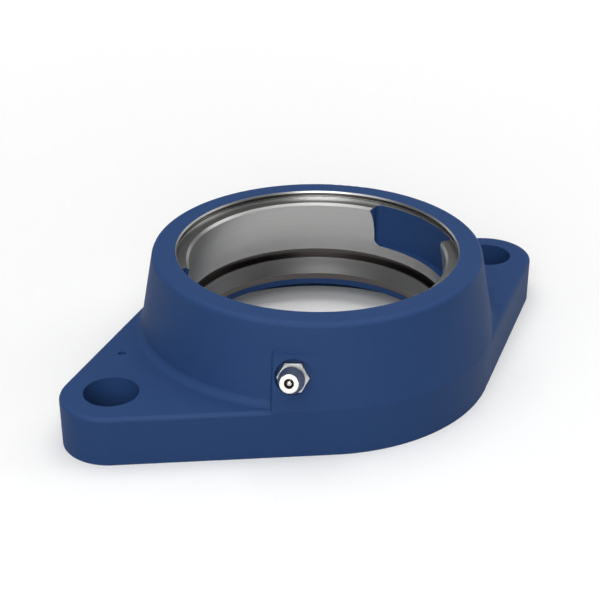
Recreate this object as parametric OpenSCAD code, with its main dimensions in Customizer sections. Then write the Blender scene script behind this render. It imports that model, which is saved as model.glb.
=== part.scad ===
// Two-bolt flanged housing for an insert bearing, cast in one piece.
// The origin lies on the bearing axis, in the plane of the mounting face. +Z points to
// the side that the bearing goes in from, and +X runs along the line of the bolt holes.

/* [Flange] */
// Distance between the centres of the two bolt holes
bolt_spacing = 130; // [124:1:140]
// Diameter of each bolt hole
bolt_hole_d = 14; // [10:0.5:16]
// Height up to which each bolt hole flares out towards the mounting face
bolt_flare_h = 6.4; // [3:0.1:8]
// How much the bolt hole's radius grows down to the mounting face
bolt_flare = 0.4; // [0.1:0.1:1]
// Radius of the rounded end around each bolt hole
lobe_r = 12.9; // [11:0.1:15]
// Thickness of the flange
flange_t = 13.3; // [11:0.1:16]
// Rounding of the flange's upper edge
flange_edge_r = 1.3; // [0.5:0.1:2]
// Diameter of the drilled spot on the left end
spot_d = 2; // [1:0.1:3]
// Depth of the drilled spot
spot_depth = 0.7; // [0.3:0.1:2]
// Distance of the drilled spot from its bolt hole, towards the bearing axis
spot_in = 12.1; // [11:0.1:13]
// Distance of the drilled spot from the line of the bolt holes
spot_back = 15; // [13:0.1:16]

/* [Barrel] */
// Height of the housing over the mounting face
height = 34.8; // [33:0.1:38]
// Radius of the barrel at its top, before the edge is rounded
barrel_top_r = 43.97; // [42:0.01:46]
// Draft of the cast barrel, in degrees
barrel_draft = 10.5; // [4:0.1:12]
// How far below the flange's top the barrel's taper starts
taper_start = 0.25; // [0.1:0.05:0.6]
// Rounding of the barrel's upper edge
barrel_edge_r = 1.5; // [0.5:0.1:2]
// Fillet between the barrel and the top of the flange
foot_fillet_r = 2.5; // [1:0.1:4]

/* [Bearing seat] */
// Diameter of the spherical seat that the bearing swivels in
seat_d = 72; // [70:0.1:73]
// Height of the seat's centre over the mounting face
seat_z = 21; // [20:0.1:22]
// Turned chamfer between the seat and the shelf above it
seat_chamfer = 0.65; // [0.3:0.05:1]
// Height of the seat's lower end over the mounting face
seat_bottom_z = 9.8; // [9:0.1:11]
// Height of the plain turned land under the seat
land_h = 1.7; // [0.5:0.1:2]
// How far the cast bore stands in from the turned land
cast_step = 0.1; // [0.05:0.05:0.5]
// Width of the grease groove in the seat
grease_groove_w = 2.8; // [2:0.1:3.5]
// Depth of the grease groove below the seat's surface
grease_groove_depth = 1.5; // [0.8:0.1:2]
// How far the middle of the grease groove lies below the seat's centre
grease_groove_below = 5.2; // [4.5:0.1:6]

/* [Rim for the end cover] */
// Depth of the rim's shelf below the top of the housing
rim_depth = 2.5; // [2.2:0.1:3]
// How far the rim's bore stands outside the seat's radius
rim_step = 2.05; // [1.5:0.05:2.5]
// Height of the plain bore over the shelf
rim_bore_h = 0.57; // [0.4:0.01:0.8]
// Height of the lip that an end cover snaps under
lip_h = 0.52; // [0.3:0.01:0.8]
// How far the lip stands in from the rim's bore
lip_in = 0.5; // [0.2:0.05:0.8]
// How far the lip's lead-in opens towards the top
lip_lead = 0.31; // [0.1:0.01:0.5]
// Depth of the snap groove outside the rim's bore
snap_groove_depth = 0.65; // [0.3:0.05:1]

/* [Loading slots] */
// Half of the angle that each slot spans
slot_half_angle = 24; // [18:0.5:28]
// Depth of each slot outside the seat's radius
slot_depth = 2; // [1.4:0.1:2.4]
// How far the floor of each slot lies below the seat's centre
slot_floor_below = 0.76; // [0:0.02:2]
// Cast rounding where the slot's ends run out to the bore
slot_mouth_r = 2.2; // [1.6:0.1:3]
// Cast fillet between the slot's ends and its outer wall
slot_fillet_r = 1.5; // [0.8:0.1:2]
// Cast fillet between the slot's ends and its floor
slot_floor_r = 2.2; // [1:0.1:3]

/* [Underside] */
// Radius of the round recess in the mounting face
recess_r = 44.6; // [42:0.1:45]
// Depth of the recess
recess_depth = 6.4; // [4:0.1:7]
// Broken edge around the recess at the mounting face
recess_edge = 0.6; // [0.2:0.1:1]
// Cast fillet between the recess's wall and its ceiling
recess_fillet_r = 2; // [0.5:0.1:3]

/* [Nipple pad] */
// Width of the flat pad, to the left of the flange side's tangent point
pad_w = 15; // [13:0.5:17]
// Height of the pad's upper end over the mounting face
pad_top_z = 27.4; // [27:0.1:30]
// How much more than the barrel the pad's face leans, in degrees
pad_lean_more = 0.3; // [0.2:0.1:1]
// Draft of the pad's upright side, in degrees
pad_side_draft = 3; // [1:0.5:6]
// Rounding of the pad's upright edge
pad_edge_r = 0.8; // [0.3:0.1:1.2]

/* [Grease nipple] */
// Direction of the nipple around the bearing axis, in degrees
nipple_azimuth = -135; // [-137:0.5:-133]
// Angle at which the nipple points up, in degrees
nipple_rise = 19.5; // [17:0.5:23]
// Height at which the nipple's axis meets the pad
nipple_z = 21.85; // [21.5:0.05:22.2]
// Depth of the spot face that the nipple's hexagon sits in
spot_face_depth = 1.2; // [0.8:0.1:1.5]
// Diameter of the thread
thread_d = 6; // [5:0.5:6]
// Length of the nipple's threaded shank
shank_l = 5.5; // [5:0.1:6]
// Free depth of the threaded hole beyond the shank
thread_runout = 1; // [0.5:0.1:1.5]
// Diameter of the grease duct from the threaded hole into the seat
duct_d = 3; // [2:0.1:3.5]
// Width of the hexagon across its flats
hex_af = 7; // [7:0.1:8]
// Height of the hexagon
hex_h = 2.5; // [2:0.1:3]
// Diameter of the neck behind the nipple's head
neck_d = 4.6; // [4.4:0.1:5]
// Length of the neck
neck_l = 1.2; // [0.6:0.1:1.5]
// Diameter of the nipple's head
head_d = 6.5; // [6:0.1:6.8]
// Length of the slope from the neck out to the head
head_back_l = 1.2; // [0.8:0.1:1.5]
// Length of the head's round land
head_land_l = 0.6; // [0.3:0.1:1]
// Length of the slope from the head's land to its tip
head_nose_l = 4.2; // [3:0.1:4.5]
// Diameter of the nipple's flat tip
tip_d = 4.6; // [4.3:0.1:5]
// Rounding of the tip's edge
tip_r = 0.15; // [0.1:0.05:0.4]
// Diameter of the check ball
ball_d = 2.4; // [2.2:0.05:2.5]
// Diameter of the mouth that the ball closes
mouth_d = 1.9; // [1.6:0.05:2]
// Depth of the mouth from the tip to the ball's seat
mouth_depth = 0.6; // [0.5:0.05:0.7]
// Width of the broken edge around the mouth
mouth_edge = 0.12; // [0.05:0.01:0.2]
// Running clearance around the ball and the spring
valve_clearance = 0.15; // [0.08:0.01:0.2]
// Gap between the ball and its seat
ball_gap = 0.02; // [0.01:0.01:0.04]
// Diameter of the spring's wire
spring_wire_d = 0.3; // [0.2:0.05:0.4]
// Number of turns of the spring
spring_turns = 10; // [6:1:12]
// Thickness of the rolled-in edge that holds the spring in the shank
crimp_t = 0.5; // [0.3:0.1:0.8]
// Diameter of the hole inside the rolled-in edge
crimp_hole_d = 1.5; // [1:0.1:1.8]

/* [Hidden] */
$fn = 96;

// Overrun of a cut past the face that it opens
cut = 1;
// Reach of the blocks that stand for everything on one side of a plane
reach = bolt_spacing;
// How far a rounding or a fillet runs out beyond the faces that it blends
blend = 0.03;
// How far the straight sides lie inside the common tangents of the flange's circles
side_sink = 0.02;
// How far the pad's face lies inside the flange's straight side
pad_sink = 0.01;
// Room around the hexagon in its spot face
spot_face_room = 0.5;
// Room between the shank's thread and the hole
thread_gap = 0.04;
// Chamfer at the end of the thread
shank_chamfer = 0.6;
// Undercut between the thread and the hexagon
undercut = 0.4;
// Slope of the chamfer on the hexagon's corners, in degrees
hex_chamfer = 30;
// How far that chamfer reaches in past the flats
hex_chamfer_in = 0.07;
// How far the hexagon is screwed round from lying flat, in degrees
hex_turn = 32;

// The flange's outline: the barrel's foot, a circle around each bolt hole, and straight
// sides that run from one to the other
draft_slope = tan(barrel_draft);
slope_stretch = sqrt(1 + draft_slope * draft_slope);
taper_z = flange_t - taper_start;
hub_r = barrel_r(taper_z);
side_r = hub_r - side_sink;
end_x = bolt_spacing / 2;
side_angle = acos((hub_r - lobe_r) / end_x);

// The barrel's edge rounding, and its foot fillet
barrel_edge_c = barrel_top_r + barrel_edge_r * (draft_slope - slope_stretch);
foot_z = flange_t + foot_fillet_r - blend;
foot_c = barrel_r(foot_z) + foot_fillet_r * slope_stretch - blend;
foot_top_z = foot_z - foot_fillet_r * draft_slope / slope_stretch;
foot_hip = flange_edge_r * (2 - sqrt(2));
foot_bottom_z = flange_t - flange_edge_r * (1 - sqrt(1 / 2));

// The bearing seat and what is turned around it
seat_r = seat_d / 2;
shelf_z = height - rim_depth;
seat_top_z = shelf_z - seat_chamfer;
seat_top_r = seat_radius(seat_top_z);
land_r = seat_radius(seat_bottom_z);
land_bottom_z = seat_bottom_z - land_h;
cast_bore_r = land_r - cast_step;
rim_r = seat_r + rim_step;
lip_z = height - lip_h;
lip_r = rim_r - lip_in;
grease_groove_z = seat_z - grease_groove_below - grease_groove_w / 2;

// The loading slots
slot_r = seat_r + slot_depth;
slot_floor_z = seat_z - slot_floor_below;
slot_top_z = shelf_z + rim_bore_h / 2;
slot_mouth_c = cast_bore_r + slot_mouth_r;

// The pad, whose face bends just under the start of the barrel's taper, and where the
// nipple's axis meets it
pad_azimuth = side_angle - 180;
pad_lean = barrel_draft + pad_lean_more;
pad_r = side_r - pad_sink;
pad_root_r = seat_r + 2 * slot_depth;
pad_bend_z = taper_z - 2 * blend;
pad_r_at_nipple = pad_r - (nipple_z - pad_bend_z) * tan(pad_lean);
nipple_r = pad_r_at_nipple / cos(nipple_azimuth - pad_azimuth);
thread_depth = spot_face_depth + shank_l + thread_runout;
duct_depth = (nipple_r - seat_r) / cos(nipple_rise) + duct_d;
spot_face_r = hex_af / sqrt(3) + spot_face_room;

// Places along the nipple's axis, counted from the underside of its hexagon
head_z = hex_h + neck_l + head_back_l;
nose_z = head_z + head_land_l;
tip_z = nose_z + head_nose_l;
valve_fn = 48;
valve_bore_r = ball_d / 2 + valve_clearance;
valve_seat_z = tip_z - mouth_depth;
ball_z = valve_seat_z - sqrt(ball_d * ball_d - mouth_d * mouth_d) / 2 - ball_gap;
hex_top_r = hex_af / 2 - hex_chamfer_in;

// The spring between the rolled-in edge and the ball
spring_r = (ball_d - spring_wire_d) / 2 - valve_clearance;
spring_bottom_z = crimp_t - shank_l + spring_wire_d / 2 + ball_gap;
spring_top_z = ball_z - sqrt(pow((ball_d + spring_wire_d) / 2 + ball_gap, 2) - pow(spring_r, 2));
spring_steps = 12;
wire_sides = 6;

// Radius of the barrel's tapered side at height z
function barrel_r(z) = barrel_top_r + (height - z) * draft_slope;

// Radius of the spherical seat at height z
function seat_radius(z) = sqrt(seat_r * seat_r - (z - seat_z) * (z - seat_z));

// What a rounding takes off a square corner at the origin, whose faces look to +x and +y
module corner_cut(r) {
    translate([blend - r, blend - r])
        difference() {
            square(r + cut);
            circle(r, $fn = 48);
        }
}

// Stands children upright, so that their y runs up and their x away from the bearing axis
module upright() {
    rotate([90, 0, 0])
        children();
}

// Everything below a plane that slopes up at 45 degrees towards the bearing axis and
// meets the flange's side at height z
module hip(z) {
    translate([side_r, -reach / 2, z])
        rotate([0, -45, 0])
            translate([-reach, 0, -reach])
                cube([reach, reach, 2 * reach]);
}

// One end of the flange's outline, at +x
module end_outline() {
    c = cos(side_angle);
    s = sin(side_angle);
    end_r = lobe_r - side_sink;
    translate([end_x, 0])
        circle(lobe_r);
    polygon([
        [0, -side_r * s],
        [side_r * c, -side_r * s],
        [end_x + end_r * c, -end_r * s],
        [end_x + end_r * c, end_r * s],
        [side_r * c, side_r * s],
        [0, side_r * s]
    ]);
}

module flange() {
    difference() {
        linear_extrude(flange_t)
            for (turn = [0, 180])
                rotate(turn)
                    end_outline();
        for (turn = [side_angle, 180 - side_angle, 180 + side_angle, -side_angle])
            rotate(turn)
                translate([side_r, reach / 2, flange_t])
                    upright()
                        linear_extrude(reach)
                            corner_cut(flange_edge_r);
        for (turn = [0, 180])
            rotate(turn)
                translate([end_x, 0, flange_t])
                    rotate(-side_angle)
                        rotate_extrude(angle = 2 * side_angle)
                            translate([lobe_r, 0])
                                corner_cut(flange_edge_r);
    }
}

// The fillet at the barrel's foot on one end of the flange, taken down to the flange's
// rounded edge along the straight sides
module foot_fillet() {
    intersection() {
        rotate(-side_angle)
            rotate_extrude(angle = 2 * side_angle, $fn = 180)
                difference() {
                    translate([barrel_top_r, foot_bottom_z])
                        square([foot_c - barrel_top_r, foot_top_z - foot_bottom_z]);
                    translate([foot_c, foot_z])
                        circle(foot_fillet_r, $fn = 48);
                }
        rotate(-side_angle)
            hip(flange_t - foot_hip);
        rotate(side_angle)
            hip(flange_t - foot_hip);
    }
}

module barrel() {
    rotate_extrude($fn = 180) {
        polygon([
            [0, 0],
            [hub_r, 0],
            [hub_r, taper_z],
            [barrel_edge_c + barrel_edge_r / slope_stretch,
             height - barrel_edge_r * (1 - draft_slope / slope_stretch)],
            [barrel_edge_c, height - barrel_edge_r],
            [barrel_edge_c, height],
            [0, height]
        ]);
        translate([barrel_edge_c, height - barrel_edge_r])
            circle(barrel_edge_r, $fn = 48);
    }
}

// The flat pad under the nipple: it carries the flange's side on up the barrel, and runs
// out on the barrel where that side touches it
module nipple_pad() {
    face_h = pad_top_z - pad_bend_z;
    rotate(pad_azimuth)
        intersection() {
            translate([0, blend, 0])
                upright()
                    linear_extrude(2 * pad_w)
                        polygon([
                            [pad_root_r, flange_t - flange_edge_r],
                            [pad_r, flange_t - flange_edge_r],
                            [pad_r, pad_bend_z],
                            [pad_r - face_h * tan(pad_lean), pad_top_z],
                            [pad_root_r, pad_top_z]
                        ]);
            translate([pad_r, -pad_w, pad_top_z])
                rotate([-pad_side_draft, 0, 0])
                    rotate([0, -pad_lean, 0])
                        translate([-face_h * tan(pad_lean), 0, -2 * face_h])
                            linear_extrude(3 * face_h)
                                difference() {
                                    translate([-pad_w, 0])
                                        square([pad_w + cut, 2 * pad_w]);
                                    mirror([0, 1])
                                        corner_cut(pad_edge_r);
                                }
        }
}

// The space that is turned and cast open around the bearing axis, as a section to revolve
module inside_section() {
    intersection() {
        translate([0, seat_z])
            circle(seat_r, $fn = 180);
        square([seat_r, shelf_z]);
    }
    translate([0, grease_groove_z])
        square([seat_r + grease_groove_depth, grease_groove_w]);
    polygon([
        [0, seat_z],
        [seat_top_r - (seat_top_z - seat_z), seat_z],
        [seat_top_r + seat_chamfer, shelf_z],
        [rim_r, shelf_z],
        [rim_r, shelf_z + rim_bore_h],
        [rim_r + snap_groove_depth, shelf_z + rim_bore_h],
        [rim_r + snap_groove_depth, lip_z],
        [lip_r, lip_z],
        [lip_r + lip_lead, height],
        [lip_r + lip_lead, height + cut],
        [0, height + cut]
    ]);
    polygon([
        [0, seat_z],
        [land_r, seat_z],
        [land_r, land_bottom_z],
        [cast_bore_r, land_bottom_z],
        [cast_bore_r, recess_depth],
        [recess_r - recess_fillet_r, recess_depth],
        [recess_r - recess_fillet_r, recess_depth - recess_fillet_r],
        [recess_r, recess_depth - recess_fillet_r],
        [recess_r, recess_edge],
        [recess_r + recess_edge, 0],
        [recess_r + recess_edge, -cut],
        [0, -cut]
    ]);
    translate([recess_r - recess_fillet_r, recess_depth - recess_fillet_r])
        circle(recess_fillet_r, $fn = 48);
}

// Plan of a loading slot towards +x
module slot_plan() {
    c = cos(slot_half_angle);
    s = sin(slot_half_angle);
    intersection() {
        circle(slot_r, $fn = 180);
        polygon([
            [0, 0],
            [reach * c, -reach * s],
            [reach * c, reach * s]
        ]);
    }
}

// What the cast rounding opens beside one end of a slot, in plan, with the end wall
// along +x
module slot_mouth() {
    difference() {
        translate([cast_bore_r - cut, -blend])
            square([slot_mouth_r + cut, slot_mouth_r]);
        translate([slot_mouth_c, slot_mouth_r - blend])
            circle(slot_mouth_r, $fn = 48);
    }
}

// Fillets that stay in the slot's corners: along its outer wall, and along its floor
module slot_fillets() {
    wall_c = sqrt(pow(slot_r - slot_fillet_r, 2) - pow(slot_fillet_r, 2));
    for (side = [0, 1])
        mirror([0, side, 0])
            rotate(slot_half_angle) {
                translate([wall_c, -slot_fillet_r, slot_floor_z - cut])
                    linear_extrude(slot_top_z - slot_floor_z + 2 * cut)
                        translate([slot_fillet_r, slot_fillet_r])
                            corner_cut(slot_fillet_r);
                translate([seat_r / 2, 0, slot_floor_z])
                    rotate([90, 0, 90])
                        linear_extrude(seat_r)
                            mirror([0, 1])
                                corner_cut(slot_floor_r);
            }
}

module loading_slot() {
    difference() {
        translate([0, 0, slot_floor_z])
            linear_extrude(slot_top_z - slot_floor_z)
                slot_plan();
        slot_fillets();
    }
    for (side = [0, 1])
        mirror([0, side, 0])
            rotate(slot_half_angle)
                translate([0, 0, slot_floor_z + slot_floor_r])
                    linear_extrude(slot_top_z - slot_floor_z - slot_floor_r)
                        slot_mouth();
}

module bolt_hole() {
    translate([end_x, 0, -cut])
        cylinder(d = bolt_hole_d, h = flange_t + 2 * cut);
    translate([end_x, 0, -cut])
        cylinder(r1 = bolt_hole_d / 2 + bolt_flare * (1 + cut / bolt_flare_h),
                 r2 = bolt_hole_d / 2,
                 h = bolt_flare_h + cut);
}

module drilled_spot() {
    translate([spot_in - end_x, spot_back, flange_t - spot_depth]) {
        cylinder(d = spot_d, h = spot_depth + cut, $fn = 48);
        translate([0, 0, -spot_d / 4])
            cylinder(d1 = 0, d2 = spot_d, h = spot_d / 4, $fn = 48);
    }
}

// Moves children to where the nipple's axis meets the pad, with +z out along that axis
module at_nipple() {
    rotate(nipple_azimuth)
        translate([nipple_r, 0, nipple_z])
            rotate([0, 90 - nipple_rise, 0])
                children();
}

module nipple_hole() {
    at_nipple() {
        translate([0, 0, -spot_face_depth])
            cylinder(r = spot_face_r, h = spot_face_depth + hex_h);
        translate([0, 0, -thread_depth])
            cylinder(d = thread_d, h = thread_depth);
        translate([0, 0, -duct_depth])
            cylinder(d = duct_d, h = duct_depth);
    }
}

module housing() {
    color([0.17, 0.28, 0.46])
        difference() {
            union() {
                flange();
                barrel();
                nipple_pad();
                for (turn = [0, 180])
                    rotate(turn)
                        foot_fillet();
            }
            rotate_extrude($fn = 180)
                inside_section();
            for (turn = [0, 180])
                rotate(turn) {
                    loading_slot();
                    bolt_hole();
                }
            drilled_spot();
            nipple_hole();
        }
}

// Moves children to the underside of the nipple's hexagon
module at_hexagon() {
    at_nipple()
        translate([0, 0, -spot_face_depth])
            children();
}

module grease_nipple_body() {
    color([0.78, 0.79, 0.82])
        at_hexagon()
            difference() {
                union() {
                    intersection() {
                        rotate(hex_turn)
                            cylinder(d = hex_af * 2 / sqrt(3), h = hex_h, $fn = 6);
                        cylinder(r1 = hex_top_r + hex_h / tan(hex_chamfer), r2 = hex_top_r, h = hex_h);
                    }
                    rotate_extrude()
                        nipple_section();
                }
                valve_bore();
            }
}

// The nipple's turned shank, neck and head, as a section to revolve
module nipple_section() {
    difference() {
        polygon([
            [0, -shank_l],
            [thread_d / 2 - shank_chamfer, -shank_l],
            [thread_d / 2 - thread_gap, shank_chamfer - shank_l],
            [thread_d / 2 - thread_gap, -undercut],
            [thread_d / 2 - undercut, 0],
            [thread_d / 2 - undercut, hex_h / 2],
            [neck_d / 2, hex_h / 2],
            [neck_d / 2, hex_h + neck_l],
            [head_d / 2, head_z],
            [head_d / 2, nose_z],
            [tip_d / 2, tip_z],
            [0, tip_z]
        ]);
        translate([tip_d / 2, tip_z])
            corner_cut(tip_r);
    }
}

module valve_bore() {
    translate([0, 0, -shank_l - cut])
        cylinder(d = crimp_hole_d, h = shank_l, $fn = valve_fn);
    translate([0, 0, crimp_t - shank_l])
        cylinder(r = valve_bore_r, h = valve_seat_z + shank_l - crimp_t, $fn = valve_fn);
    cylinder(d = mouth_d, h = tip_z + cut, $fn = valve_fn);
    translate([0, 0, tip_z - 2 * mouth_edge])
        cylinder(d1 = mouth_d, d2 = mouth_d + 4 * mouth_edge, h = 4 * mouth_edge, $fn = valve_fn);
}

module check_ball() {
    color([0.85, 0.86, 0.88])
        at_hexagon()
            translate([0, 0, ball_z])
                sphere(d = ball_d, $fn = valve_fn);
}

// Point on the ring of wire around the spring's centre line, after step of the turns
function wire_point(step, side) = let (
    turn = 360 * step / spring_steps,
    lift = (spring_top_z - spring_bottom_z) * step / (spring_turns * spring_steps),
    swing = 360 * side / wire_sides,
    r = spring_r + spring_wire_d / 2 * cos(swing)
) [r * cos(turn), r * sin(turn), spring_bottom_z + lift + spring_wire_d / 2 * sin(swing)];

module ball_spring() {
    last = spring_turns * spring_steps;
    color([0.6, 0.61, 0.63])
        at_hexagon()
            polyhedron(
                points = [for (i = [0:last]) for (k = [0:wire_sides - 1]) wire_point(i, k)],
                faces = concat(
                    [[for (k = [0:wire_sides - 1]) k]],
                    [[for (k = [wire_sides - 1:-1:0]) last * wire_sides + k]],
                    [for (i = [0:last - 1]) for (k = [0:wire_sides - 1]) [
                        i * wire_sides + k,
                        (i + 1) * wire_sides + k,
                        (i + 1) * wire_sides + (k + 1) % wire_sides,
                        i * wire_sides + (k + 1) % wire_sides
                    ]]
                )
            );
}

housing();
grease_nipple_body();
check_ball();
ball_spring();
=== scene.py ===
import math

import bpy
from bpy.props import FloatProperty, FloatVectorProperty, PointerProperty
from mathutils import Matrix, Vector


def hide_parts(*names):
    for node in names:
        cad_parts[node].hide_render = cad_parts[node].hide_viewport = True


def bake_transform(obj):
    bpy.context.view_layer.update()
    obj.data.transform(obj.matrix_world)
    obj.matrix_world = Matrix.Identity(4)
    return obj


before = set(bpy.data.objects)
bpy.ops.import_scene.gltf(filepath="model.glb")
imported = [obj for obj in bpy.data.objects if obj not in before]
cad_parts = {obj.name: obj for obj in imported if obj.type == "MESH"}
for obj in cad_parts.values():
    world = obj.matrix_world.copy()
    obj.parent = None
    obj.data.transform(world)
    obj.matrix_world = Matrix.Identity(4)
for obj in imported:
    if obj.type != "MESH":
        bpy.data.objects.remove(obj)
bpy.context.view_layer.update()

bl_info = {
    "name": "Flanged bearing housing",
    "version": (1, 0, 0),
    "blender": (4, 5, 0),
    "location": "3D View > Sidebar > Housing",
    "description": "Finishes a painted bearing housing and its grease nipple on a white stage",
    "category": "Object",
}

# One millimetre in the frame's metres
MM = 0.001

# The part's own turned places, in millimetres: the spherical seat, how far its finish
# reaches past it, and then each turned band as its lowest and highest z and the radius
# that it lies within
SEAT_CENTRE = (0.0, 0.0, 21.0)
SEAT_R = 36.0
SEAT_EDGE = 0.05
TURNED_BANDS = {
    "mounting face": (-1.0, 0.05, 90.0),
    "land under the seat": (8.1, 9.85, 34.3),
    "grease groove": (14.35, 17.25, 37.6),
    "chamfer over the seat": (31.6, 32.35, 35.1),
    "shelf and snap groove": (32.28, 34.29, 38.8),
    "lip and its lead-in": (34.2, 35.0, 37.865),
}

# Top of the grease groove: below it the bore's iron is painted darker, as painted shade
GROOVE_TOP = 17.2

# Turned places drawn darker still, as painted shade, each with its lowest and highest z and
# the radius that it lies beyond
PAINTED_SHADE_BANDS = {
    "land under the seat": (8.1, 9.79, 30.0),
    "grease groove": (14.35, 17.25, 35.85),
    "snap groove": (32.95, 34.25, 37.9),
}

# The nipple's axis: a point on it in millimetres, and its direction
NIPPLE_AT = (-33.5, -33.5, 21.85)
NIPPLE_AXIS = Vector((-0.666548, -0.666548, 0.333807))

# Radius around that axis within which the nipple's mouth is painted dark, as painted shade
MOUTH_R = 1.22

# Heights of the relief in millimetres: the sand grain, the enamel's waves, and the tool's
# marks on the casting and on the nipple
GRAIN_HEIGHT = 0.006
FLOW_HEIGHT = 0.02
CASTING_MARK_HEIGHT = 0.0004
NIPPLE_MARK_HEIGHT = 0.0003

# Size in millimetres of the clouds in which the enamel lies thinner and thicker
CLOUD_SIZE = 22

# Distance between the tool's marks on the nipple and size of the patches in which they
# wander, in millimetres, and how far any ring wanders, in marks
NIPPLE_MARK = 0.16
NIPPLE_PATCH = 4.0
RING_WANDER = 0.3

# Patches of haze on the ball, and draw marks on the spring's wire, in a millimetre
HAZE_PER_MM = 2.5
DRAW_MARKS_PER_MM = 6.0

# Roughness of each finish: how much its pattern adds, and what it has without that
ENAMEL_ROUGH = (0.06, 0.67)
TURNED_ROUGH = (0.12, 0.27)
ZINC_ROUGH = (0.14, 0.26)
BALL_ROUGH = (0.06, 0.07)
WIRE_ROUGH = (0.15, 0.3)

# How strongly the enamel mirrors, where 0.5 is plain gloss paint
ENAMEL_SPECULAR = 0.4

# Rays with which each point looks for sharp edges beside it
EDGE_RAYS = 6

# The camera, solved from the photograph's circles and straight edges: the point in millimetres
# that it looks at, its direction in degrees, its distance in millimetres and its focal length
CAMERA_AT = (17.936, 30.850, 0.134)
CAMERA_AZIMUTH = -37.549
CAMERA_RISE = 27.363
CAMERA_DISTANCE = 407.98
LENS = 80.94

# The nearest and the farthest that the camera sees, in metres
CLIP = (0.01, 20.0)

# Softboxes around the stage, as azimuth and rise in degrees, distance and width in metres,
# and level
LAMPS = {
    "overhead_box": (0.0, 89.0, 1.5, 1.6, 0.6),
    "front_box": (-42.0, 30.0, 1.3, 0.8, 0.56),
    "left_box": (-82.0, 38.0, 1.3, 0.8, 0.12),
    "right_box": (68.0, 36.0, 1.3, 0.7, 0.15),
    "back_right_box": (115.0, 55.0, 1.3, 0.8, 0.06),
    "back_left_box": (-165.0, 55.0, 1.3, 0.8, 0.06),
}

# How bright the room around the stage is, where 1 is white
WORLD_LEVEL = 0.05

# The stage's own glow: from where to where it grows, in metres from the middle, and how
# bright it is within the first and beyond the second
GLOW_START = 0.1
GLOW_END = 1.5
GLOW_NEAR = 0.05
GLOW_FAR = 0.9

# The stage's mesh: corners around it, and steps in which its rim curves up
STAGE_CORNERS = 96
STAGE_STEPS = 12


def linear(hex_colour):
    """A colour written as sRGB hex, as the linear values that a shader takes."""
    text = hex_colour.lstrip("#")
    values = [int(text[i:i + 2], 16) / 255 for i in (0, 2, 4)]
    curve = [v / 12.92 if v <= 0.04045 else ((v + 0.055) / 1.055) ** 2.4 for v in values]
    return (*curve, 1.0)


def add(tree, kind, inputs=None, **settings):
    """Adds a node to a tree, with its settings, and its inputs as values or as links."""
    node = tree.nodes.new(kind)
    for name, value in settings.items():
        setattr(node, name, value)
    for socket, value in (inputs or {}).items():
        if isinstance(value, bpy.types.NodeSocket):
            tree.links.new(value, node.inputs[socket])
        else:
            node.inputs[socket].default_value = value
    return node


def new_material(name):
    """An empty node material, its tree and its Principled shader."""
    material = bpy.data.materials.new(name)
    material.use_nodes = True
    tree = material.node_tree
    tree.nodes.clear()
    shader = add(tree, "ShaderNodeBsdfPrincipled")
    add(tree, "ShaderNodeOutputMaterial", {"Surface": shader.outputs["BSDF"]})
    return material, tree, shader


def calculate(tree, operation, *values):
    """One sum on numbers or links."""
    inputs = dict(enumerate(values))
    return add(tree, "ShaderNodeMath", inputs, operation=operation).outputs[0]


def reckon(tree, operation, *values):
    """One sum on vectors or links, which gives a vector."""
    inputs = dict(enumerate(values))
    return add(tree, "ShaderNodeVectorMath", inputs, operation=operation).outputs["Vector"]


def length(tree, vector):
    """The length of a vector."""
    return add(tree, "ShaderNodeVectorMath", {0: vector}, operation="LENGTH").outputs["Value"]


def in_millimetres(tree):
    """Where a point of the piece lies in the part's own frame, in millimetres."""
    where = add(tree, "ShaderNodeTexCoord").outputs["Object"]
    return reckon(tree, "DIVIDE", where, (MM, MM, MM))


def blend_of(tree, share, first, second):
    """The first colour where the share is 0, and the second where it is 1."""
    mix = add(tree, "ShaderNodeMix", data_type="RGBA")
    for socket, value in ((0, share), (6, first), (7, second)):
        if isinstance(value, bpy.types.NodeSocket):
            tree.links.new(value, mix.inputs[socket])
        else:
            mix.inputs[socket].default_value = value
    return mix.outputs[2]


def in_bands(tree, bands, height, radius, side):
    """1 in any of the bands, on the given side of each band's radius, and 0 elsewhere."""
    found = 0.0
    for low, high, limit in bands.values():
        band = calculate(tree, "COMPARE", height, (low + high) / 2, (high - low) / 2)
        band = calculate(tree, "MULTIPLY", band, calculate(tree, side, radius, limit))
        found = calculate(tree, "MAXIMUM", found, band)
    return found


def turned_places(tree, where, height, radius):
    """1 on the faces that were cut on the lathe, and 0 on the cast and painted ones."""
    from_seat = length(tree, reckon(tree, "SUBTRACT", where, SEAT_CENTRE))
    seat = calculate(tree, "LESS_THAN", from_seat, SEAT_R + SEAT_EDGE)
    bands = in_bands(tree, TURNED_BANDS, height, radius, "LESS_THAN")
    return calculate(tree, "MAXIMUM", seat, bands)


def tool_marks(tree, along, around, pitch):
    """Fine rings of a turning tool, from 0 to 1: along counts across the rings, and around
    is a slow vector in which each ring wanders a little."""
    spread = reckon(tree, "MULTIPLY", around, (RING_WANDER, RING_WANDER, RING_WANDER))
    across = add(tree, "ShaderNodeCombineXYZ", {"X": calculate(tree, "DIVIDE", along, pitch)})
    rings = reckon(tree, "ADD", across.outputs[0], spread)
    marks = add(tree, "ShaderNodeTexNoise",
                {"Vector": rings, "Scale": 1.0, "Detail": 3.0, "Roughness": 0.65})
    return marks.outputs[0]


def rough_from(tree, pattern, roughness):
    """A roughness that grows with a pattern of 0 to 1."""
    return calculate(tree, "MULTIPLY_ADD", pattern, *roughness)


def relief_on(tree, shader, height, edge_break):
    """Raises a shader's surface by a height in millimetres, and rounds its sharp edges."""
    edge = add(tree, "ShaderNodeBevel", {"Radius": edge_break}, samples=EDGE_RAYS)
    bump = add(tree, "ShaderNodeBump",
               {"Strength": 1.0, "Distance": MM, "Height": height, "Normal": edge.outputs[0]})
    tree.links.new(bump.outputs[0], shader.inputs["Normal"])


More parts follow.
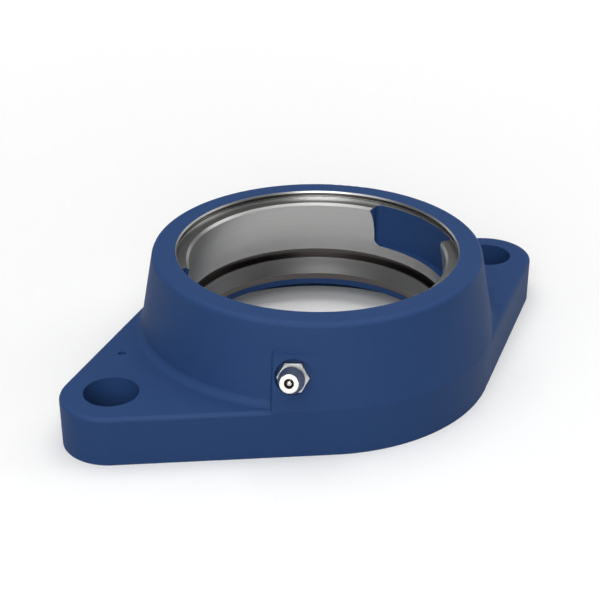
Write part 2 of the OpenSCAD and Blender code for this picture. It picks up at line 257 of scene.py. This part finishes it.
def casting_finish(sizes, colours):
    """Stoving enamel sprayed on sand-cast grey iron, with the faces that the lathe cut after
    painting left bare: the enamel gives a deep even blue with a satin gloss over a faint
    grain, and the turned iron a grey sheen drawn out into rings."""
    material, tree, shader = new_material("stoved_enamel_on_sand_cast_iron_turned_bare")
    where = in_millimetres(tree)
    axis = add(tree, "ShaderNodeSeparateXYZ", {0: where})
    height = axis.outputs["Z"]
    radius = length(tree, reckon(tree, "MULTIPLY", where, (1.0, 1.0, 0.0)))
    turned = turned_places(tree, where, height, radius)

    # Sand grain that shows through the enamel, and the enamel's own long flow waves
    grain = add(tree, "ShaderNodeTexNoise",
                {"Vector": where, "Scale": 1 / (sizes.sand_grain / MM), "Detail": 2.0,
                 "Roughness": 0.5})
    flow = add(tree, "ShaderNodeTexNoise",
               {"Vector": where, "Scale": 1 / (sizes.enamel_flow / MM), "Detail": 1.0})
    cast_height = calculate(tree, "ADD",
                            calculate(tree, "MULTIPLY", grain.outputs[0], GRAIN_HEIGHT),
                            calculate(tree, "MULTIPLY", flow.outputs[0], FLOW_HEIGHT))

    # The enamel lies a little thinner and thicker from place to place
    cloud = add(tree, "ShaderNodeTexNoise",
                {"Vector": where, "Scale": 1 / CLOUD_SIZE, "Detail": 3.0})
    paint = blend_of(tree, cloud.outputs[0], colours.enamel_thin, colours.enamel)

    # Rings of the tool: across them the height and the radius both grow
    around = reckon(tree, "DIVIDE", where, (SEAT_R, SEAT_R, SEAT_R))
    around = reckon(tree, "MULTIPLY", around, (1.0, 1.0, 0.0))
    along = calculate(tree, "ADD", height, radius)
    rings = tool_marks(tree, along, around, sizes.tool_mark / MM)
    turned_height = calculate(tree, "MULTIPLY", rings, CASTING_MARK_HEIGHT)

    # Bright on the seat and above it; painted shade below the groove, deeper on land and grooves
    iron = blend_of(tree, rings, colours.turned_iron_dark, colours.turned_iron)
    lower_painted_shade = blend_of(tree, rings, colours.lower_iron_painted_shade_dark, colours.lower_iron_painted_shade)
    iron = blend_of(tree, calculate(tree, "LESS_THAN", height, GROOVE_TOP), iron, lower_painted_shade)
    # Painted shade: the land and the grooves are drawn darker still
    painted_shade_colour = blend_of(tree, rings, colours.iron_in_painted_shade_dark, colours.iron_in_painted_shade)
    painted_shade_mask = in_bands(tree, PAINTED_SHADE_BANDS, height, radius, "GREATER_THAN")
    iron = blend_of(tree, painted_shade_mask, iron, painted_shade_colour)

    colour = blend_of(tree, turned, paint, iron)
    tree.links.new(colour, shader.inputs["Base Color"])
    tree.links.new(turned, shader.inputs["Metallic"])
    shader.inputs["Specular IOR Level"].default_value = ENAMEL_SPECULAR
    paint_rough = rough_from(tree, cloud.outputs[0], ENAMEL_ROUGH)
    iron_rough = rough_from(tree, rings, TURNED_ROUGH)
    rough = add(tree, "ShaderNodeMix", {0: turned, 2: paint_rough, 3: iron_rough},
                data_type="FLOAT")
    tree.links.new(rough.outputs[0], shader.inputs["Roughness"])
    relief = add(tree, "ShaderNodeMix", {0: turned, 2: cast_height, 3: turned_height},
                 data_type="FLOAT")
    relief_on(tree, shader, relief.outputs[0], sizes.edge_break)
    return material


def nipple_finish(sizes, colours):
    """Free-cutting steel, turned and zinc plated: a soft grey-white shine with the rings of
    the tool around the nipple's axis, and a mouth painted dark as painted shade."""
    material, tree, shader = new_material("zinc_plated_turned_steel")
    where = reckon(tree, "SUBTRACT", in_millimetres(tree), NIPPLE_AT)
    along = add(tree, "ShaderNodeVectorMath", {0: where, 1: NIPPLE_AXIS},
                operation="DOT_PRODUCT").outputs["Value"]
    on_axis = add(tree, "ShaderNodeVectorMath", {0: NIPPLE_AXIS, "Scale": along},
                  operation="SCALE").outputs["Vector"]
    out = length(tree, reckon(tree, "SUBTRACT", where, on_axis))
    across = calculate(tree, "ADD", along, out)
    around = reckon(tree, "DIVIDE", where, (NIPPLE_PATCH, NIPPLE_PATCH, NIPPLE_PATCH))
    rings = tool_marks(tree, across, around, NIPPLE_MARK)
    plating = blend_of(tree, rings, colours.zinc_dark, colours.zinc)
    # Painted shade: within this radius of the axis the mouth is drawn dark
    mouth = calculate(tree, "LESS_THAN", out, MOUTH_R)
    plating = blend_of(tree, mouth, plating, colours.mouth_painted_shade)
    tree.links.new(plating, shader.inputs["Base Color"])
    shader.inputs["Metallic"].default_value = 1.0
    tree.links.new(rough_from(tree, rings, ZINC_ROUGH), shader.inputs["Roughness"])
    height = calculate(tree, "MULTIPLY", rings, NIPPLE_MARK_HEIGHT)
    relief_on(tree, shader, height, sizes.edge_break / 2)
    return material


def bare_metal(name, per_mm, detail, dark, light, roughness):
    """A metal whose colour and roughness vary in so many patches a millimetre."""
    material, tree, shader = new_material(name)
    patches = add(tree, "ShaderNodeTexNoise",
                  {"Vector": in_millimetres(tree), "Scale": per_mm, "Detail": detail})
    pattern = patches.outputs[0]
    tree.links.new(blend_of(tree, pattern, dark, light), shader.inputs["Base Color"])
    shader.inputs["Metallic"].default_value = 1.0
    tree.links.new(rough_from(tree, pattern, roughness), shader.inputs["Roughness"])
    return material


def ball_finish(colours):
    """Ground and polished bearing steel: a hard clear reflection, with the faintest haze."""
    return bare_metal("polished_bearing_steel", HAZE_PER_MM, 2.0,
                      colours.ball_steel_dark, colours.ball_steel, BALL_ROUGH)


def spring_finish(colours):
    """Hard-drawn spring wire, oiled and grey, with fine draw marks in its shine."""
    return bare_metal("hard_drawn_spring_wire", DRAW_MARKS_PER_MM, 3.0,
                      colours.wire_dark, colours.wire, WIRE_ROUGH)


def dress(node, material):
    """Gives a CAD node's object its material in every slot."""
    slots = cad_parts[node].data.materials
    slots.clear()
    slots.append(material)


def softbox(name, azimuth, rise, distance, width, level):
    """A square soft lamp that looks at the origin. Level is how bright it alone makes a plain
    white surface that faces it, where 1 is white."""
    lamp = bpy.data.lights.new(name, "AREA")
    lamp.size = width
    lamp.energy = level * math.pi ** 2 * distance ** 2
    thing = bpy.data.objects.new(name, lamp)
    bpy.context.scene.collection.objects.link(thing)
    back = toward(azimuth, rise)
    thing.location = back * distance
    thing.rotation_euler = (-back).to_track_quat("-Z", "Y").to_euler()


def toward(azimuth, rise):
    """The direction from the object to a viewer, with azimuth 0 in front and + to the right."""
    turn = math.radians(azimuth)
    lift = math.radians(rise)
    flat = math.cos(lift)
    return Vector((math.sin(turn) * flat, -math.cos(turn) * flat, math.sin(lift)))


class HousingSizes(bpy.types.PropertyGroup):
    """Sizes of the finishes and of the stage."""

    sand_grain: FloatProperty(
        name="Sand grain", description="Size of the casting's grain that shows through the enamel",
        default=1.1 * MM, unit="LENGTH")
    enamel_flow: FloatProperty(
        name="Enamel flow", description="Length of the enamel's slow waves",
        default=5.0 * MM, unit="LENGTH")
    # The real feed marks are about 0.1 mm apart, too fine to show, so they are drawn coarser
    tool_mark: FloatProperty(
        name="Tool marks", description="Distance between the rings on the turned faces",
        default=0.35 * MM, unit="LENGTH")
    edge_break: FloatProperty(
        name="Edge break", description="How far sharp edges are softened to the eye",
        default=0.1 * MM, unit="LENGTH")
    stage_radius: FloatProperty(
        name="Stage radius", description="Radius of the white stage's flat part",
        default=2.0, unit="LENGTH")
    stage_rim: FloatProperty(
        name="Stage rim", description="Height to which the stage curves up around the object",
        default=0.6, unit="LENGTH")


class HousingColours(bpy.types.PropertyGroup):
    """Colours of the finishes and of the stage."""

    enamel: FloatVectorProperty(
        name="Enamel", description="Colour of the enamel",
        default=linear("#1B3E71"), size=4, subtype="COLOR", min=0.0, max=1.0)
    enamel_thin: FloatVectorProperty(
        name="Enamel, thin", description="Colour of the enamel where it lies thinner",
        default=linear("#1F4274"), size=4, subtype="COLOR", min=0.0, max=1.0)
    turned_iron: FloatVectorProperty(
        name="Turned iron", description="Colour of the turned faces on the tool marks' crests",
        default=linear("#C4C4C3"), size=4, subtype="COLOR", min=0.0, max=1.0)
    turned_iron_dark: FloatVectorProperty(
        name="Turned iron, dark", description="Colour of the turned faces between the crests",
        default=linear("#B0B0AF"), size=4, subtype="COLOR", min=0.0, max=1.0)
    # Painted shade: the iron from the grease groove down is drawn darker than on the seat
    lower_iron_painted_shade: FloatVectorProperty(
        name="First cut", description="Colour of the duller iron, from the grease groove down",
        default=linear("#AEAEAD"), size=4, subtype="COLOR", min=0.0, max=1.0)
    lower_iron_painted_shade_dark: FloatVectorProperty(
        name="First cut, dark", description="Colour of that iron between the crests",
        default=linear("#9C9C9B"), size=4, subtype="COLOR", min=0.0, max=1.0)
    # Painted shade: the iron on the land and in the grease and snap grooves is drawn darker
    iron_in_painted_shade: FloatVectorProperty(
        name="Oiled iron", description="Colour of the iron where preserving oil has stayed",
        default=linear("#625E5C"), size=4, subtype="COLOR", min=0.0, max=1.0)
    iron_in_painted_shade_dark: FloatVectorProperty(
        name="Oiled iron, dark", description="Colour of that iron between the crests",
        default=linear("#524E4D"), size=4, subtype="COLOR", min=0.0, max=1.0)
    zinc: FloatVectorProperty(
        name="Zinc", description="Colour of the nipple's plating",
        default=linear("#D8D8D6"), size=4, subtype="COLOR", min=0.0, max=1.0)
    zinc_dark: FloatVectorProperty(
        name="Zinc, dark", description="Colour of the plating in the tool marks",
        default=linear("#ABABA9"), size=4, subtype="COLOR", min=0.0, max=1.0)
    ball_steel: FloatVectorProperty(
        name="Ball steel", description="Colour of the ball",
        default=linear("#D8D8D6"), size=4, subtype="COLOR", min=0.0, max=1.0)
    ball_steel_dark: FloatVectorProperty(
        name="Ball steel, dark", description="Colour of the haze on the ball",
        default=linear("#ABABA9"), size=4, subtype="COLOR", min=0.0, max=1.0)
    # Painted shade: the colour with which the nipple's mouth is drawn dark
    mouth_painted_shade: FloatVectorProperty(
        name="Old grease", description="Colour of the old grease in the nipple's mouth",
        default=linear("#2A2725"), size=4, subtype="COLOR", min=0.0, max=1.0)
    wire: FloatVectorProperty(
        name="Spring wire", description="Colour of the spring",
        default=linear("#A9A8A6"), size=4, subtype="COLOR", min=0.0, max=1.0)
    wire_dark: FloatVectorProperty(
        name="Spring wire, dark", description="Colour of the spring's draw marks",
        default=linear("#8C8B89"), size=4, subtype="COLOR", min=0.0, max=1.0)
    stage: FloatVectorProperty(
        name="Stage", description="Colour of the stage",
        default=linear("#FCFCFC"), size=4, subtype="COLOR", min=0.0, max=1.0)
    stage_bounce: FloatVectorProperty(
        name="Stage, bounce", description="Colour that the stage throws back on the object",
        default=linear("#707070"), size=4, subtype="COLOR", min=0.0, max=1.0)


class HOUSING_OT_finish_casting(bpy.types.Operator):
    """Paints the casting, and leaves its turned faces bare"""

    bl_idname = "housing.finish_casting"
    bl_label = "Finish the casting"

    def execute(self, context):
        scene = context.scene
        dress("housing", casting_finish(scene.housing_sizes, scene.housing_colours))
        return {"FINISHED"}


class HOUSING_OT_finish_nipple(bpy.types.Operator):
    """Plates the grease nipple, and polishes the ball and greys the spring inside it"""

    bl_idname = "housing.finish_nipple"
    bl_label = "Finish the nipple"

    def execute(self, context):
        scene = context.scene
        dress("grease_nipple_body", nipple_finish(scene.housing_sizes, scene.housing_colours))
        dress("check_ball", ball_finish(scene.housing_colours))
        dress("ball_spring", spring_finish(scene.housing_colours))
        return {"FINISHED"}


class HOUSING_OT_fit_spring(bpy.types.Operator):
    """Puts a smooth-shaded copy of the spring in place of the CAD spring, which it hides"""

    bl_idname = "housing.fit_spring"
    bl_label = "Fit the spring"

    def execute(self, context):
        coil = bpy.data.objects.new("spring_coil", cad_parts["ball_spring"].data.copy())
        context.scene.collection.objects.link(coil)
        for face in coil.data.polygons:
            face.use_smooth = True
        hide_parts("ball_spring")
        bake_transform(coil)
        return {"FINISHED"}


class HOUSING_OT_set_stage(bpy.types.Operator):
    """Lays the white stage, and sets the world, the lamps and the camera"""

    bl_idname = "housing.set_stage"
    bl_label = "Set the stage"

    def execute(self, context):
        scene = context.scene
        sizes = scene.housing_sizes
        self.lay_stage(sizes, scene.housing_colours)
        self.light(scene)
        self.set_camera(scene)
        scene.view_settings.view_transform = "Standard"
        return {"FINISHED"}

    def lay_stage(self, sizes, colours):
        """A flat round floor that curves up into a low rim."""
        ring = STAGE_CORNERS
        profile = [(sizes.stage_radius, 0.0)]
        for step in range(1, STAGE_STEPS + 1):
            turn = math.pi / 2 * step / STAGE_STEPS
            profile.append((sizes.stage_radius + sizes.stage_rim * math.sin(turn),
                            sizes.stage_rim * (1 - math.cos(turn))))
        points = [(r * math.cos(math.tau * k / ring), r * math.sin(math.tau * k / ring), z)
                  for r, z in profile for k in range(ring)]
        faces = [list(range(ring))]
        for row in range(STAGE_STEPS):
            for k in range(ring):
                after = (k + 1) % ring
                faces.append([row * ring + after, row * ring + k,
                              (row + 1) * ring + k, (row + 1) * ring + after])
        mesh = bpy.data.meshes.new("stage")
        mesh.from_pydata(points, [], faces)
        for face in mesh.polygons[1:]:
            face.use_smooth = True
        stage = bpy.data.objects.new("stage", mesh)
        bpy.context.scene.collection.objects.link(stage)
        mesh.materials.append(self.stage_finish(colours))

    def stage_finish(self, colours):
        """Matt white card, which the camera and every mirror see as white apart from the
        object's shadow on it: far out, where the lamps don't reach, it glows by itself."""
        material, tree, shader = new_material("matt_white_card")
        path = add(tree, "ShaderNodeLightPath")
        seen = calculate(tree, "MAXIMUM", path.outputs["Is Camera Ray"],
                         path.outputs["Is Glossy Ray"])
        seen = calculate(tree, "MAXIMUM", seen, path.outputs["Is Transmission Ray"])
        bounce = blend_of(tree, seen, colours.stage_bounce, colours.stage)
        tree.links.new(bounce, shader.inputs["Base Color"])
        shader.inputs["Roughness"].default_value = 1.0
        shader.inputs["Specular IOR Level"].default_value = 0.0
        shader.inputs["Emission Color"].default_value = (1.0, 1.0, 1.0, 1.0)
        out = length(tree, add(tree, "ShaderNodeTexCoord").outputs["Object"])
        far = add(tree, "ShaderNodeMapRange",
                  {"Value": out, "From Min": GLOW_START, "From Max": GLOW_END,
                   "To Min": GLOW_NEAR, "To Max": GLOW_FAR})
        glow = calculate(tree, "MULTIPLY", seen, far.outputs[0])
        tree.links.new(glow, shader.inputs["Emission Strength"])
        return material

    def light(self, scene):
        """A dim even room, and the softboxes."""
        world = bpy.data.worlds.new("studio")
        scene.world = world
        world.use_nodes = True
        room = world.node_tree.nodes["Background"]
        room.inputs["Color"].default_value = (1.0, 1.0, 1.0, 1.0)
        room.inputs["Strength"].default_value = WORLD_LEVEL
        for name, settings in LAMPS.items():
            softbox(name, *settings)

    def set_camera(self, scene):
        """The photograph's own camera."""
        lens = bpy.data.cameras.new("camera")
        lens.lens = LENS
        lens.clip_start, lens.clip_end = CLIP
        camera = bpy.data.objects.new("camera", lens)
        scene.collection.objects.link(camera)
        back = toward(CAMERA_AZIMUTH, CAMERA_RISE)
        camera.location = (Vector(CAMERA_AT) + back * CAMERA_DISTANCE) * MM
        camera.rotation_euler = (-back).to_track_quat("-Z", "Y").to_euler()
        scene.camera = camera


class HOUSING_PT_panel(bpy.types.Panel):
    """Lists the steps that finish the housing"""

    bl_idname = "HOUSING_PT_panel"
    bl_label = "Flanged bearing housing"
    bl_space_type = "VIEW_3D"
    bl_region_type = "UI"
    bl_category = "Housing"

    def draw(self, context):
        for group in (context.scene.housing_sizes, context.scene.housing_colours):
            box = self.layout.box()
            for name in group.__annotations__:
                box.prop(group, name)
        for operator in OPERATORS:
            self.layout.operator(operator.bl_idname)


GROUPS = (HousingSizes, HousingColours)
OPERATORS = (HOUSING_OT_finish_casting, HOUSING_OT_finish_nipple, HOUSING_OT_fit_spring,
             HOUSING_OT_set_stage)


def register():
    for item in (*GROUPS, *OPERATORS, HOUSING_PT_panel):
        bpy.utils.register_class(item)
    bpy.types.Scene.housing_sizes = PointerProperty(type=HousingSizes)
    bpy.types.Scene.housing_colours = PointerProperty(type=HousingColours)


def unregister():
    del bpy.types.Scene.housing_colours
    del bpy.types.Scene.housing_sizes
    for item in reversed((*GROUPS, *OPERATORS, HOUSING_PT_panel)):
        bpy.utils.unregister_class(item)


def main():
    register()
    bpy.ops.housing.finish_casting()
    bpy.ops.housing.finish_nipple()
    bpy.ops.housing.fit_spring()
    bpy.ops.housing.set_stage()


if __name__ == "__main__":
    main()
